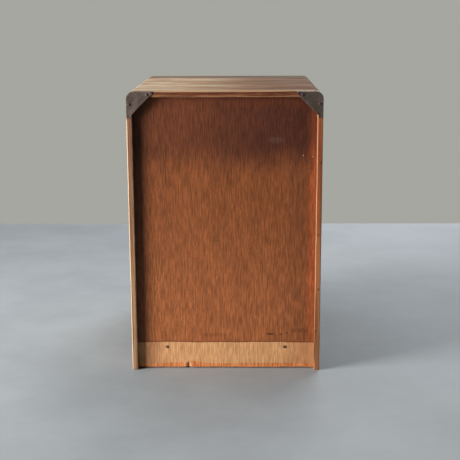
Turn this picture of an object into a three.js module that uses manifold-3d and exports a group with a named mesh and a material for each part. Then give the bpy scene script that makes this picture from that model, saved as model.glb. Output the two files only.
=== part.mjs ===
// Parts organizer: a small free-standing wooden cabinet with six small drawers over one wide drawer,
// a plywood back panel set into grooves, and folded steel plates on its two upper rear corners.
// Units are millimetres and +Z is up. The front faces -Y and the back faces +Y. The origin is on the
// floor, under the middle of the whole object.

import * as THREE from "three";
import { mergeVertices } from "three/addons/utils/BufferGeometryUtils.js";
import Module from "manifold-3d";

// Case: outside sizes, and the boards that it is made of.
const CASE_WIDTH = 330;
const CASE_DEPTH = 390;
const CASE_HEIGHT = 490;
const BOARD = 9.5;
const CORNER_RADIUS = 12.5; // rounding along the two upper edges

// Joinery. Touching pieces keep a glue line between them.
const JOINT_GAP = 0.3;
const HOUSING_DEPTH = 3; // how far level boards are let into the sides, and the divider into boards
const TOP_LAP = 4; // how far the sides rise into the rabbets under the ends of the top

// Back panel, which slides up in grooves and is nailed to the bottom board.
const PANEL = 4;
const PANEL_RECESS = 10; // the panel's rear face in front of the case's rear edges
const PANEL_GROOVE = 4; // depth of its grooves
const PANEL_LIFT = 1.5; // its lower edge above the floor

// Bottom board and the plinth rail under its front.
const BOTTOM_UNDERSIDE = 35;
const RAIL_SETBACK = 14;

// Shelves and divider between the drawers.
const PARTITION = 7;
const SMALL_ROWS = 3;
const WIDE_OPENING = 126; // height of the opening for the wide drawer

// Drawers.
const DRAWER_INSET = 1; // the fronts lie behind the case's front edges
const DRAWER_REVEAL = 1; // gap at each side of a drawer, and above it
const DRAWER_LIFT = 0.5; // gap under a drawer
const DRAWER_END_GAP = 4; // between a closed drawer and the back panel
const DRAWER_FRONT = 10;
const DRAWER_WALL = 6;
const WALL_DROP = 4; // sides and back lower than the front
const FRONT_LAP = 6; // how far the sides enter the rabbets behind the front
const DRAWER_PLY = 3;
const PLY_GROOVE = 3; // depth of the grooves that hold the plywood bottom
const PLY_HEIGHT = 5; // underside of the plywood above the drawer's lower edge

// Pulls: a pressed steel label frame with a curved finger lip under it.
const PULL_SHEET = 1.2;
const PULL_WIDTH = 64;
const PULL_HEIGHT = 26;
const WINDOW_WIDTH = 40;
const WINDOW_HEIGHT = 15;
const LIP_WIDTH = 50;
const LIP_REACH = 14;
const SCREW_HOLE_RADIUS = 1.6;

// Corner plates. Their flange is let into the wood, flush with the case's outside.
const PLATE_SHEET = 1.2;
const PLATE_LEG = 44; // along the top and down the side
const PLATE_TIP = 4; // height of the cut-off tip on the top, where the diagonal inner edge starts
const PLATE_STEP = 1; // the lower tip stops this far short of the side's inner face
const PLATE_FLANGE = 11; // how far the folded edge reaches forward

// Nails.
const NAIL_RADIUS = 0.95;
const NAIL_HEAD_RADIUS = 2.3;
const NAIL_HEAD_HEIGHT = 0.9;
const NAIL_POINT = 2;
const NAIL_CLEARANCE = 0.3; // all round a shank
const TACK_IN_WOOD = 7; // corner plate tacks stop short of the panel's grooves
const PANEL_NAIL_IN_WOOD = 18;
const TACK_FROM_EDGE = 5.5;
const TACK_ALONG_TOP = 35;
const TACK_DOWN_SIDE = 21;
const PANEL_NAIL_OFFSET = 104; // from the middle of the panel

// Facets: of a round bar, and of a quarter turn.
const ROUND_STEPS = 12;
const ARC_STEPS = 8;

// Finishes.
const STAINED_WOOD = { color: 0x8f5c36, roughness: 0.62, metalness: 0 };
const PANEL_PLY = { color: 0x965530, roughness: 0.5, metalness: 0 };
const PALE_WOOD = { color: 0xb99a72, roughness: 0.75, metalness: 0 };
const DRAWER_FACE = { color: 0x80502e, roughness: 0.55, metalness: 0 };
const AGED_STEEL = { color: 0x5f524b, roughness: 0.55, metalness: 0.8 };
const NAIL_STEEL = { color: 0x3f3733, roughness: 0.6, metalness: 0.8 };

// Places that several pieces share.
const plateBack = JOINT_GAP + PLATE_SHEET; // a corner plate's rear face behind the case's rear edges
const frontOverhang = PULL_SHEET + LIP_REACH - DRAWER_INSET + JOINT_GAP;
const rearOverhang = plateBack + JOINT_GAP + NAIL_HEAD_HEIGHT;
const caseFront = frontOverhang - (CASE_DEPTH + frontOverhang + rearOverhang) / 2;
const caseRear = caseFront + CASE_DEPTH;
const panelRear = caseRear - PANEL_RECESS;
const panelFront = panelRear - PANEL;
const halfWidth = CASE_WIDTH / 2;
const innerHalf = halfWidth - BOARD;
const topUnderside = CASE_HEIGHT - BOARD;
const bottomTop = BOTTOM_UNDERSIDE + BOARD;
const smallOpening =
  (topUnderside - bottomTop - WIDE_OPENING - SMALL_ROWS * PARTITION) / SMALL_ROWS;
const smallPitch = smallOpening + PARTITION;
// Undersides of the shelves, from the top one down. The lowest lies over the wide drawer.
const shelfUndersides = Array.from(
  { length: SMALL_ROWS },
  (_, row) => topUnderside - (row + 1) * smallPitch,
);
const lowestShelf = shelfUndersides[SMALL_ROWS - 1];
const boardsBack = panelFront - JOINT_GAP;
const halfLap = (caseFront + boardsBack) / 2;

const wasm = await Module();
wasm.setup();

// A closed three.js geometry as a solid that can be cut and joined.
function toSolid(geometry) {
  const bare = geometry.clone();
  bare.deleteAttribute("normal");
  bare.deleteAttribute("uv");
  const merged = mergeVertices(bare, 1e-4);
  return new wasm.Manifold(
    new wasm.Mesh({
      numProp: 3,
      vertProperties: Float32Array.from(merged.attributes.position.array),
      triVerts: Uint32Array.from(merged.index.array),
    }),
  );
}

function cut(solid, ...tools) {
  return tools.reduce((rest, tool) => rest.subtract(tool), solid);
}

function makeMesh(name, solid, finish) {
  const { vertProperties, triVerts } = solid.getMesh();
  const geometry = new THREE.BufferGeometry();
  geometry.setAttribute("position", new THREE.BufferAttribute(vertProperties, 3));
  geometry.setIndex(new THREE.BufferAttribute(triVerts, 1));
  geometry.computeVertexNormals();
  const mesh = new THREE.Mesh(geometry, new THREE.MeshStandardMaterial(finish));
  mesh.name = name;
  return mesh;
}

// A box from its lowest to its highest value along each axis.
function block([x0, x1], [y0, y1], [z0, z1]) {
  const geometry = new THREE.BoxGeometry(x1 - x0, y1 - y0, z1 - z0);
  geometry.translate((x0 + x1) / 2, (y0 + y1) / 2, (z0 + z1) / 2);
  return toSolid(geometry);
}

// An outline in X and Z, carried along Y.
function alongY(shape, [y0, y1]) {
  const settings = { depth: y1 - y0, bevelEnabled: false, curveSegments: ARC_STEPS };
  const geometry = new THREE.ExtrudeGeometry(shape, settings);
  geometry.rotateX(Math.PI / 2);
  geometry.translate(0, y1, 0);
  return toSolid(geometry);
}

// An outline in Y and Z, carried along X across the middle.
function acrossX(shape, width) {
  const geometry = new THREE.ExtrudeGeometry(shape, { depth: width, bevelEnabled: false });
  geometry.translate(0, 0, -width / 2);
  const yzx = new THREE.Matrix4().makeBasis(
    new THREE.Vector3(0, 1, 0),
    new THREE.Vector3(0, 0, 1),
    new THREE.Vector3(1, 0, 0),
  );
  return toSolid(geometry.applyMatrix4(yzx));
}

// A round bar along Y.
function roundBar(radius, x, [y0, y1], z) {
  const geometry = new THREE.CylinderGeometry(radius, radius, y1 - y0, ROUND_STEPS);
  return toSolid(geometry.translate(x, (y0 + y1) / 2, z));
}

// The case seen from the back: square at the floor, rounded at the top.
function caseOutline() {
  const shape = new THREE.Shape();
  shape.moveTo(-halfWidth, 0);
  shape.lineTo(halfWidth, 0);
  shape.absarc(halfWidth - CORNER_RADIUS, CASE_HEIGHT - CORNER_RADIUS, CORNER_RADIUS, 0, Math.PI / 2);
  shape.absarc(CORNER_RADIUS - halfWidth, CASE_HEIGHT - CORNER_RADIUS, CORNER_RADIUS, Math.PI / 2, Math.PI);
  shape.closePath();
  return shape;
}

// Where the corner plates and the panel are nailed from behind. side is 1 or -1.
const tackOnTop = (side) => [side * (halfWidth - TACK_ALONG_TOP), CASE_HEIGHT - TACK_FROM_EDGE];
const tackOnSide = (side) => [side * (halfWidth - TACK_FROM_EDGE), CASE_HEIGHT - TACK_DOWN_SIDE];
const panelNail = (side) => [side * PANEL_NAIL_OFFSET, BOTTOM_UNDERSIDE + BOARD / 2];

// The hole for a nail whose head bears at y = seat. It is drilled on through whatever lies behind.
function nailHole([x, z], seat, inWood) {
  const end = seat - inWood - JOINT_GAP - NAIL_CLEARANCE;
  return roundBar(NAIL_RADIUS + NAIL_CLEARANCE, x, [end, seat + 1], z);
}

function nail(name, [x, z], seat, length) {
  const under = seat + JOINT_GAP;
  const profile = [
    [0, -length],
    [NAIL_RADIUS, NAIL_POINT - length],
    [NAIL_RADIUS, 0],
    [NAIL_HEAD_RADIUS, 0],
    [NAIL_HEAD_RADIUS * 0.8, NAIL_HEAD_HEIGHT * 0.75],
    [0, NAIL_HEAD_HEIGHT],
  ];
  const points = profile.map(([r, y]) => new THREE.Vector2(r, y));
  const geometry = new THREE.LatheGeometry(points, ROUND_STEPS);
  geometry.translate(x, under, z);
  return makeMesh(name, toSolid(geometry), NAIL_STEEL);
}

// The stretch of the case's outline that a corner plate covers, at a depth inside it: up the side,
// round the corner and along the top.
function cornerRun(depth, leg) {
  const path = new THREE.Path();
  path.moveTo(halfWidth - depth, CASE_HEIGHT - leg);
  path.lineTo(halfWidth - depth, CASE_HEIGHT - CORNER_RADIUS);
  path.absarc(
    halfWidth - CORNER_RADIUS,
    CASE_HEIGHT - CORNER_RADIUS,
    CORNER_RADIUS - depth,
    0,
    Math.PI / 2,
  );
  path.lineTo(halfWidth - leg, CASE_HEIGHT - depth);
  return path.getPoints(ARC_STEPS);
}

const onSide = (side, points) => new THREE.Shape(points.map((p) => new THREE.Vector2(side * p.x, p.y)));

// What is cut from the wood so that a corner plate's flange lies flush.
function flangeRebate(side) {
  const leg = PLATE_LEG + JOINT_GAP;
  const band = [...cornerRun(-1, leg), ...cornerRun(plateBack, leg).reverse()];
  return alongY(onSide(side, band), [caseRear - PLATE_FLANGE - JOINT_GAP, caseRear + 1]);
}

const caseSpan = [caseFront, caseRear];
const caseBody = alongY(caseOutline(), caseSpan);
const panelSlot = [panelFront - JOINT_GAP, panelRear + JOINT_GAP];

// An upright side, cut for the level boards, the plinth rail, the panel and a tack.
function caseSide(name, side) {
  const between = (a, b) => (side > 0 ? [a, b] : [-b, -a]);
  const upright = block(between(innerHalf, halfWidth), caseSpan, [0, topUnderside + TOP_LAP - JOINT_GAP]);
  const letIn = between(innerHalf - 1, innerHalf + HOUSING_DEPTH);
  const housings = [
    [BOTTOM_UNDERSIDE, BOARD],
    ...shelfUndersides.map((z) => [z, PARTITION]),
  ].map(([z, thick]) =>
    block(letIn, [caseFront - 1, boardsBack + JOINT_GAP], [z - JOINT_GAP, z + thick + JOINT_GAP]),
  );
  const railHousing = block(letIn, railSpan(JOINT_GAP), [-1, BOTTOM_UNDERSIDE]);
  const groove = block(between(innerHalf - 1, innerHalf + PANEL_GROOVE), panelSlot, [-1, CASE_HEIGHT]);
  const tack = nailHole(tackOnSide(side), caseRear, TACK_IN_WOOD);
  const cuts = [...housings, railHousing, groove, tack, flangeRebate(side)];
  return makeMesh(name, cut(upright.intersect(caseBody), ...cuts), STAINED_WOOD);
}

// The plinth rail's thickness along Y, widened by a gap on both faces where it is let in.
function railSpan(gap) {
  return [caseFront + RAIL_SETBACK - gap, caseFront + RAIL_SETBACK + BOARD + gap];
}

// The top covers both sides, with a rabbet under each end, the panel's groove and the divider's housing.
function topBoard() {
  const board = block([-halfWidth, halfWidth], caseSpan, [topUnderside, CASE_HEIGHT]);
  const rabbets = [1, -1].map((side) => {
    const span = [innerHalf - JOINT_GAP, halfWidth + 1].map((x) => side * x).sort((a, b) => a - b);
    return block(span, [caseFront - 1, caseRear + 1], [topUnderside - 1, topUnderside + TOP_LAP]);
  });
  const grooveHalf = innerHalf + PANEL_GROOVE;
  const groove = block([-grooveHalf, grooveHalf], panelSlot, [topUnderside - 1, topUnderside + PANEL_GROOVE]);
  const housing = block(
    [-PARTITION / 2 - JOINT_GAP, PARTITION / 2 + JOINT_GAP],
    [caseFront - 1, boardsBack + JOINT_GAP],
    [topUnderside - 1, topUnderside + HOUSING_DEPTH],
  );
  const corners = [1, -1].flatMap((side) => [
    nailHole(tackOnTop(side), caseRear, TACK_IN_WOOD),
    flangeRebate(side),
  ]);
  const cuts = [...rabbets, groove, housing, ...corners];
  return makeMesh("top_board", cut(board.intersect(caseBody), ...cuts), STAINED_WOOD);
}

const letInHalf = innerHalf + HOUSING_DEPTH - JOINT_GAP;

function bottomBoard() {
  const board = block([-letInHalf, letInHalf], [caseFront, boardsBack], [BOTTOM_UNDERSIDE, bottomTop]);
  const holes = [1, -1].map((side) => nailHole(panelNail(side), boardsBack, PANEL_NAIL_IN_WOOD));
  return makeMesh("bottom_board", cut(board, ...holes), PALE_WOOD);
}

function plinthRail() {
  const top = BOTTOM_UNDERSIDE - JOINT_GAP;
  return makeMesh("plinth_rail", block([-letInHalf, letInHalf], railSpan(0), [0, top]), STAINED_WOOD);
}

function backPanel() {
  const half = innerHalf + PANEL_GROOVE - JOINT_GAP;
  const sheet = block(
    [-half, half],
    [panelFront, panelRear],
    [PANEL_LIFT, topUnderside + PANEL_GROOVE - JOINT_GAP],
  );
  const holes = [1, -1].map((side) => nailHole(panelNail(side), panelRear, PANEL + 1));
  return makeMesh("back_panel", cut(sheet, ...holes), PANEL_PLY);
}

// Shelves run from side to side. The divider is let into the lowest one. Those that it crosses are
// slotted from the back to halfway.
function shelf(row) {
  const z = shelfUndersides[row];
  const board = block([-letInHalf, letInHalf], [caseFront, boardsBack], [z, z + PARTITION]);
  const half = PARTITION / 2 + JOINT_GAP;
  const isLowest = row === SMALL_ROWS - 1;
  const from = isLowest ? [caseFront - 1, z + PARTITION - HOUSING_DEPTH] : [halfLap, z - 1];
  const slot = block([-half, half], [from[0], boardsBack + 1], [from[1], z + PARTITION + 1]);
  return makeMesh(`shelf_${row + 1}`, cut(board, slot), PALE_WOOD);
}

// The divider stands between the lowest shelf and the top, slotted from the front to halfway at each shelf.
function centreDivider() {
  const foot = lowestShelf + PARTITION - HOUSING_DEPTH + JOINT_GAP;
  const head = topUnderside + HOUSING_DEPTH - JOINT_GAP;
  const board = block([-PARTITION / 2, PARTITION / 2], [caseFront, boardsBack], [foot, head]);
  const slots = shelfUndersides
    .slice(0, -1)
    .map((z) =>
      block(
        [-PARTITION, PARTITION],
        [caseFront - 1, halfLap + JOINT_GAP],
        [z - JOINT_GAP, z + PARTITION + JOINT_GAP],
      ),
    );
  return makeMesh("centre_divider", cut(board, ...slots), PALE_WOOD);
}

// A flat plate with a diagonal inner edge, and a flange folded forward over the side and the top.
function cornerPlate(name, side) {
  const outer = cornerRun(0, PLATE_LEG);
  const heel = BOARD - PLATE_STEP;
  const face = onSide(side, [
    ...outer,
    new THREE.Vector2(halfWidth - PLATE_LEG, CASE_HEIGHT - PLATE_TIP),
    new THREE.Vector2(halfWidth - heel, CASE_HEIGHT - (PLATE_LEG + PLATE_TIP - heel)),
    new THREE.Vector2(halfWidth - heel, CASE_HEIGHT - PLATE_LEG),
  ]);
  const fold = onSide(side, [...outer, ...cornerRun(PLATE_SHEET, PLATE_LEG).reverse()]);
  const flat = alongY(face, [caseRear + JOINT_GAP, caseRear + plateBack]);
  const flange = alongY(fold, [caseRear - PLATE_FLANGE, caseRear + plateBack]);
  const holes = [tackOnTop(side), tackOnSide(side)].map(([x, z]) =>
    roundBar(NAIL_RADIUS + NAIL_CLEARANCE, x, [caseRear, caseRear + plateBack + 1], z),
  );
  return makeMesh(name, cut(flat.add(flange), ...holes), AGED_STEEL);
}

// Drawers. Each is a group whose origin is at the middle of its opening's lower edge, on the plane of
// the drawer's face, with the drawer running back along +Y.
const drawerLength = boardsBack + JOINT_GAP - DRAWER_END_GAP - caseFront - DRAWER_INSET;

// The label frame and finger lip, pinned to the front by two screws. y = 0 is the pull's back.
function drawerPull(name) {
  const frame = block([-PULL_WIDTH / 2, PULL_WIDTH / 2], [-PULL_SHEET, 0], [-PULL_SHEET, PULL_HEIGHT]);
  const middle = PULL_HEIGHT / 2;
  const window = block(
    [-WINDOW_WIDTH / 2, WINDOW_WIDTH / 2],
    [-PULL_SHEET - 1, 1],
    [middle - WINDOW_HEIGHT / 2, middle + WINDOW_HEIGHT / 2],
  );
  const ear = (PULL_WIDTH + WINDOW_WIDTH) / 4;
  const screws = [-ear, ear].map((x) => roundBar(SCREW_HOLE_RADIUS, x, [-PULL_SHEET - 1, 1], middle));
  const lip = new THREE.Shape();
  lip.absarc(-PULL_SHEET, -LIP_REACH, LIP_REACH, Math.PI / 2, Math.PI);
  lip.absarc(-PULL_SHEET, -LIP_REACH, LIP_REACH - PULL_SHEET, Math.PI, Math.PI / 2, true);
  lip.lineTo(-PULL_SHEET / 2, -PULL_SHEET);
  lip.lineTo(-PULL_SHEET / 2, 0);
  lip.closePath();
  const curl = acrossX(new THREE.Shape(lip.getPoints(ARC_STEPS)), LIP_WIDTH);
  return makeMesh(name, cut(frame.add(curl), window, ...screws), AGED_STEEL);
}

function drawer(number, opening) {
  const name = (piece) => `drawer_${number}_${piece}`;
  const half = opening.width / 2 - DRAWER_REVEAL;
  const inner = half - DRAWER_WALL;
  const foot = DRAWER_LIFT;
  const faceTop = opening.height - DRAWER_REVEAL;
  const wallTop = faceTop - WALL_DROP;
  const ply = foot + PLY_HEIGHT;
  const plyGroove = [ply - JOINT_GAP, ply + DRAWER_PLY + JOINT_GAP];
  const shoulder = DRAWER_FRONT - FRONT_LAP;
  const grooved = (span) => block(span, [DRAWER_FRONT - PLY_GROOVE, drawerLength + 1], plyGroove);

  const front = cut(
    block([-half, half], [0, DRAWER_FRONT], [foot, faceTop]),
    block([inner - JOINT_GAP, half + 1], [shoulder, DRAWER_FRONT + 1], [foot - 1, faceTop + 1]),
    block([-half - 1, JOINT_GAP - inner], [shoulder, DRAWER_FRONT + 1], [foot - 1, faceTop + 1]),
    grooved([-half, half]),
  );
  const wallSpan = [shoulder + JOINT_GAP, drawerLength];
  const rightSide = cut(block([inner, half], wallSpan, [foot, wallTop]), grooved([0, inner + PLY_GROOVE]));
  const leftSide = cut(block([-half, -inner], wallSpan, [foot, wallTop]), grooved([-inner - PLY_GROOVE, 0]));
  const back = block(
    [JOINT_GAP - inner, inner - JOINT_GAP],
    [drawerLength - DRAWER_WALL, drawerLength],
    [plyGroove[1], wallTop],
  );
  const plyHalf = inner + PLY_GROOVE - JOINT_GAP;
  const bottom = block(
    [-plyHalf, plyHalf],
    [DRAWER_FRONT - PLY_GROOVE + JOINT_GAP, drawerLength],
    [ply, ply + DRAWER_PLY],
  );
  const pull = drawerPull(name("pull"));
  const pullMiddle = (PULL_HEIGHT - PULL_SHEET - LIP_REACH) / 2;
  pull.position.set(0, -JOINT_GAP, (foot + faceTop) / 2 - pullMiddle);

  const group = new THREE.Group();
  group.position.set(opening.x, caseFront + DRAWER_INSET, opening.z);
  group.add(
    makeMesh(name("front"), front, DRAWER_FACE),
    makeMesh(name("left_side"), leftSide, PALE_WOOD),
    makeMesh(name("right_side"), rightSide, PALE_WOOD),
    makeMesh(name("back"), back, PALE_WOOD),
    makeMesh(name("bottom"), bottom, PALE_WOOD),
    pull,
  );
  return group;
}

// The openings between the partitions: two in each small row, from the top left, then the wide one.
function drawerOpenings() {
  const width = innerHalf - PARTITION / 2;
  const centre = (innerHalf + PARTITION / 2) / 2;
  const small = shelfUndersides.flatMap((z) =>
    [-centre, centre].map((x) => ({ x, z: z + PARTITION, width, height: smallOpening })),
  );
  return [...small, { x: 0, z: bottomTop, width: 2 * innerHalf, height: WIDE_OPENING }];
}

const carcase = new THREE.Group();
carcase.add(
  caseSide("left_side", -1),
  caseSide("right_side", 1),
  topBoard(),
  bottomBoard(),
  plinthRail(),
  backPanel(),
  ...shelfUndersides.map((_, row) => shelf(row)),
  centreDivider(),
  cornerPlate("corner_plate_left", -1),
  cornerPlate("corner_plate_right", 1),
);
for (const [label, side] of [
  ["left", -1],
  ["right", 1],
]) {
  const tackLength = TACK_IN_WOOD + plateBack + JOINT_GAP;
  const panelNailLength = PANEL + PANEL_NAIL_IN_WOOD;
  carcase.add(
    nail(`corner_tack_${label}_top`, tackOnTop(side), caseRear + plateBack, tackLength),
    nail(`corner_tack_${label}_side`, tackOnSide(side), caseRear + plateBack, tackLength),
    nail(`panel_nail_${label}`, panelNail(side), panelRear, panelNailLength),
  );
}

const organizer = new THREE.Group();
organizer.add(carcase, ...drawerOpenings().map((opening, index) => drawer(index + 1, opening)));

export default organizer;
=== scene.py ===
"""The looks of a parts organizer: a small old wooden cabinet of drawers, seen from its plywood back.

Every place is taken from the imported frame, in metres. The front faces -Y and the back faces +Y.
"""

import math

import bmesh
import bpy
import numpy as np
from mathutils import Euler, Matrix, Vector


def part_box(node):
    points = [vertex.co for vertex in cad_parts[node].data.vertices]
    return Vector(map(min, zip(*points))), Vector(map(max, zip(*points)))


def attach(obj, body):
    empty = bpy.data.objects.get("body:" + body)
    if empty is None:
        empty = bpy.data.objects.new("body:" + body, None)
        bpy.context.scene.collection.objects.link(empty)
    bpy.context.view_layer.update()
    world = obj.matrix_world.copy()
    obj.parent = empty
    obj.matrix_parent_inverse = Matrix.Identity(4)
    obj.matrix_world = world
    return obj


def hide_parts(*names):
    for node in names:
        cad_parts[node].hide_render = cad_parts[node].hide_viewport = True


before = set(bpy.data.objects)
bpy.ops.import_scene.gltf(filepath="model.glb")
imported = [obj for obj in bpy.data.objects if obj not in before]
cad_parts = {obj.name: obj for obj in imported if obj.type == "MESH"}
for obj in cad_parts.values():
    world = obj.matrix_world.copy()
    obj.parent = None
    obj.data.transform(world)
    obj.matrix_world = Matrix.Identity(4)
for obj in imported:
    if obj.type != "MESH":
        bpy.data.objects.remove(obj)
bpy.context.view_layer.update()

MM = 0.001
TAU = 2 * math.pi


def corners(node):
    """A frame node's lowest and highest corners."""
    return tuple(np.array(corner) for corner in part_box(node))


# The case, as the frame has it.
SIDE_LOW, SIDE_HIGH = corners("right_side")
TOP_LOW, TOP_HIGH = corners("top_board")
PANEL_LOW, PANEL_HIGH = corners("back_panel")
PLATE_LOW, PLATE_HIGH = corners("corner_plate_right")
HALF_WIDTH = SIDE_HIGH[0]
CASE_TOP = TOP_HIGH[2]
CASE_REAR = SIDE_HIGH[1]
PANEL_REAR = PANEL_HIGH[1]

# Sizes that the steel repeats from the frame's design.
CORNER_RADIUS = 12.5 * MM
PLATE_SHEET = 1.2 * MM
PLATE_LEG = PLATE_HIGH[0] - PLATE_LOW[0]
PLATE_TIP = 4 * MM
PLATE_HEEL = 8.5 * MM
PULL_SHEET = 1.2 * MM
PULL_HEIGHT = 26 * MM
LIP_WIDTH = 50 * MM
LIP_REACH = 14 * MM
WINDOW_WIDTH = 40 * MM
WINDOW_HEIGHT = 15 * MM
SCREW_OFFSET = 26 * MM
NAIL_SHANK = 0.95 * MM
NAIL_HEAD = 2.3 * MM
NAIL_DOME = 0.9 * MM
DRAWERS = range(1, 8)

# Where the plywood is chipped at its foot, how high its veneer is torn, and how much more beside the chip.
CHIP_X = 67 * MM
TORN_HEIGHT = 8.5 * MM
FLAP_HEIGHT = 4 * MM

# Marks on the plywood's stain, each as x, z, half width, half height and strength.
DARK_SMUDGES = (
    (-0.0785, 0.0635, 0.010, 0.0026, 0.9),
    (-0.0975, 0.0634, 0.0035, 0.0024, 0.8),
    (-0.108, 0.0655, 0.0026, 0.0036, 0.8),
    (-0.13, 0.07, 0.022, 0.005, 0.35),
    (0.02, 0.062, 0.03, 0.004, 0.25),
)
PALE_SPECKS = (
    (-0.133, 0.381, 0.0011, 0.0014, 0.9),
    (-0.149, 0.379, 0.0011, 0.0013, 0.9),
    (-0.088, 0.407, 0.017, 0.008, 0.05),
)
SCRATCHES = (
    (-0.146, 0.359, 0.006, 0.0007, 0.6),
    (0.018, 0.233, 0.012, 0.0007, 0.3),
)

# Small knots on the rear edge of a side and dirt on the plates, each as x, z and size.
EDGE_KNOTS = (
    (-0.1625, 0.37, 0.0016),
    (-0.16, 0.245, 0.0014),
    (-0.1615, 0.148, 0.0015),
    (-0.158, 0.072, 0.0014),
)
PLATE_DIRT = (
    (-0.124, 0.486, 0.008),
    (-0.156, 0.451, 0.006),
)


# ---------------------------------------------------------------------------------------------
# Camera, floor and light
# ---------------------------------------------------------------------------------------------


def place_camera():
    """A long lens behind the cabinet, a little above its top and looking slightly down."""
    width = 2 * HALF_WIDTH
    data = bpy.data.cameras.new("camera")
    data.lens = 77.6
    camera = bpy.data.objects.new("camera", data)
    bpy.context.scene.collection.objects.link(camera)
    place = Matrix.Translation((-0.098 * width, CASE_REAR + 5.027 * width, 1.896 * width))
    look = Euler((math.radians(90 - 12.63), 0, math.radians(180.83))).to_matrix().to_4x4()
    roll = Matrix.Rotation(math.radians(-0.22), 4, "Z")
    camera.matrix_world = place @ look @ roll
    bpy.context.scene.camera = camera


def soft_light(name, azimuth, elevation, distance, size, power, colour=(1, 1, 1)):
    """A rectangular light that looks at the middle of the case. The azimuth turns from +Y towards +X."""
    data = bpy.data.lights.new(name, "AREA")
    data.shape = "RECTANGLE"
    data.size, data.size_y = size
    data.energy = power
    data.color = colour
    light = bpy.data.objects.new(name, data)
    bpy.context.scene.collection.objects.link(light)
    turn, rise = math.radians(azimuth), math.radians(elevation)
    away = np.array([math.sin(turn) * math.cos(rise), math.cos(turn) * math.cos(rise), math.sin(rise)])
    light.location = away * distance + np.array([0, 0, CASE_TOP / 2])
    light.rotation_euler = Euler((math.radians(90) - rise, 0, math.pi - turn))


def light_the_room():
    """A low window-like light from the side, one overhead, one on the front, and a grey room all round."""
    soft_light("window", 64, 12, 2.3, (1.0, 1.2), 112, (1, 0.97, 0.93))
    soft_light("overhead", 180, 80, 2.2, (1.6, 1.6), 23, (1, 0.99, 0.97))
    soft_light("far_wall", 205, 24, 2.6, (2, 1.6), 46, (0.97, 0.98, 1))
    world = bpy.data.worlds.new("room")
    bpy.context.scene.world = world
    world.use_nodes = True
    tree = world.node_tree
    tree.nodes.clear()
    seen = put(tree, "ShaderNodeBackground", Color=(0.38, 0.385, 0.35, 1), Strength=1)
    fill = put(tree, "ShaderNodeBackground", Color=(0.93, 0.98, 1, 1), Strength=0.055)
    path = put(tree, "ShaderNodeLightPath")
    both = put(tree, "ShaderNodeMixShader", path.outputs["Is Camera Ray"], fill.outputs[0], seen.outputs[0])
    put(tree, "ShaderNodeOutputWorld", both.outputs[0])
    bpy.context.scene.view_settings.view_transform = "Standard"


def lay_floor():
    """A pale floor from a metre in front of the case to far behind it."""
    low, high = np.array([-3, -1.02, 0]), np.array([3, 4, 0])
    u, v = np.meshgrid([0, 1], [0, 1])
    points = low + np.stack([u, v, 0 * u], -1) * (high - low)
    mesh = bpy.data.meshes.new("floor")
    mesh.from_pydata(points.reshape(-1, 3).tolist(), [], [(0, 1, 3, 2)])
    floor = bpy.data.objects.new("floor", mesh)
    bpy.context.scene.collection.objects.link(floor)
    floor.data.materials.append(pale_floor())


# ---------------------------------------------------------------------------------------------
# Nodes and shared effects
# ---------------------------------------------------------------------------------------------


def put(tree, kind, *values, settings=None, **named):
    """A new node. Values fill its inputs in order and named ones by name; an output is linked."""
    made = tree.nodes.new(kind)
    for key, value in (settings or {}).items():
        setattr(made, key, value)
    pairs = [(made.inputs[i], v) for i, v in enumerate(values) if v is not None]
    pairs += [(made.inputs[k.replace("_", " ")], v) for k, v in named.items()]
    for socket, value in pairs:
        if isinstance(value, bpy.types.NodeSocket):
            tree.links.new(value, socket)
        else:
            socket.default_value = value
    return made


def calc(tree, operation, *values, clamp=False):
    """The result of a Math node."""
    settings = {"operation": operation, "use_clamp": clamp}
    return put(tree, "ShaderNodeMath", *values, settings=settings).outputs[0]


def ramp(tree, value, start, end, low=0.0, high=1.0):
    """A value eased from low to high as the input goes from start to end."""
    settings = {"interpolation_type": "SMOOTHSTEP"}
    return put(tree, "ShaderNodeMapRange", value, start, end, low, high, settings=settings).outputs[0]


def blended(tree, share, first, second, kind="MIX"):
    """Two colours mixed by a share, or multiplied, screened and so on."""
    mix = tree.nodes.new("ShaderNodeMix")
    mix.data_type = "RGBA"
    mix.blend_type = kind
    for index, value in ((0, share), (6, first), (7, second)):
        if isinstance(value, bpy.types.NodeSocket):
            tree.links.new(value, mix.inputs[index])
        else:
            mix.inputs[index].default_value = value
    return mix.outputs[2]


def paint(red, green, blue):
    """A paint or wood colour, given from 0 to 255 as it looks, as the shader's own values."""
    shares = (red / 255, green / 255, blue / 255)
    return (*(s / 12.92 if s <= 0.04 else ((s + 0.055) / 1.055) ** 2.4 for s in shares), 1)


def new_group(name, inputs, outputs):
    """An empty node group, with its input and output nodes. A socket is a name, a kind and a value."""
    tree = bpy.data.node_groups.new(name, "ShaderNodeTree")
    for direction, sockets in (("INPUT", inputs), ("OUTPUT", outputs)):
        for label, kind, *value in sockets:
            socket = tree.interface.new_socket(label, in_out=direction, socket_type="NodeSocket" + kind)
            if value:
                socket.default_value = value[0]
    return tree, tree.nodes.new("NodeGroupInput").outputs, tree.nodes.new("NodeGroupOutput").inputs


def noise(tree, vector, scale, detail=3.0, roughness=0.55, distortion=0.0):
    """A noise value about 0.5."""
    made = put(tree, "ShaderNodeTexNoise", Vector=vector, Scale=scale, Detail=detail, Roughness=roughness,
               Distortion=distortion)
    return made.outputs[0]


def stretched(tree, vector, scale):
    """Coordinates multiplied axis by axis."""
    settings = {"operation": "MULTIPLY"}
    return put(tree, "ShaderNodeVectorMath", vector, scale, settings=settings).outputs[0]


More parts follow.
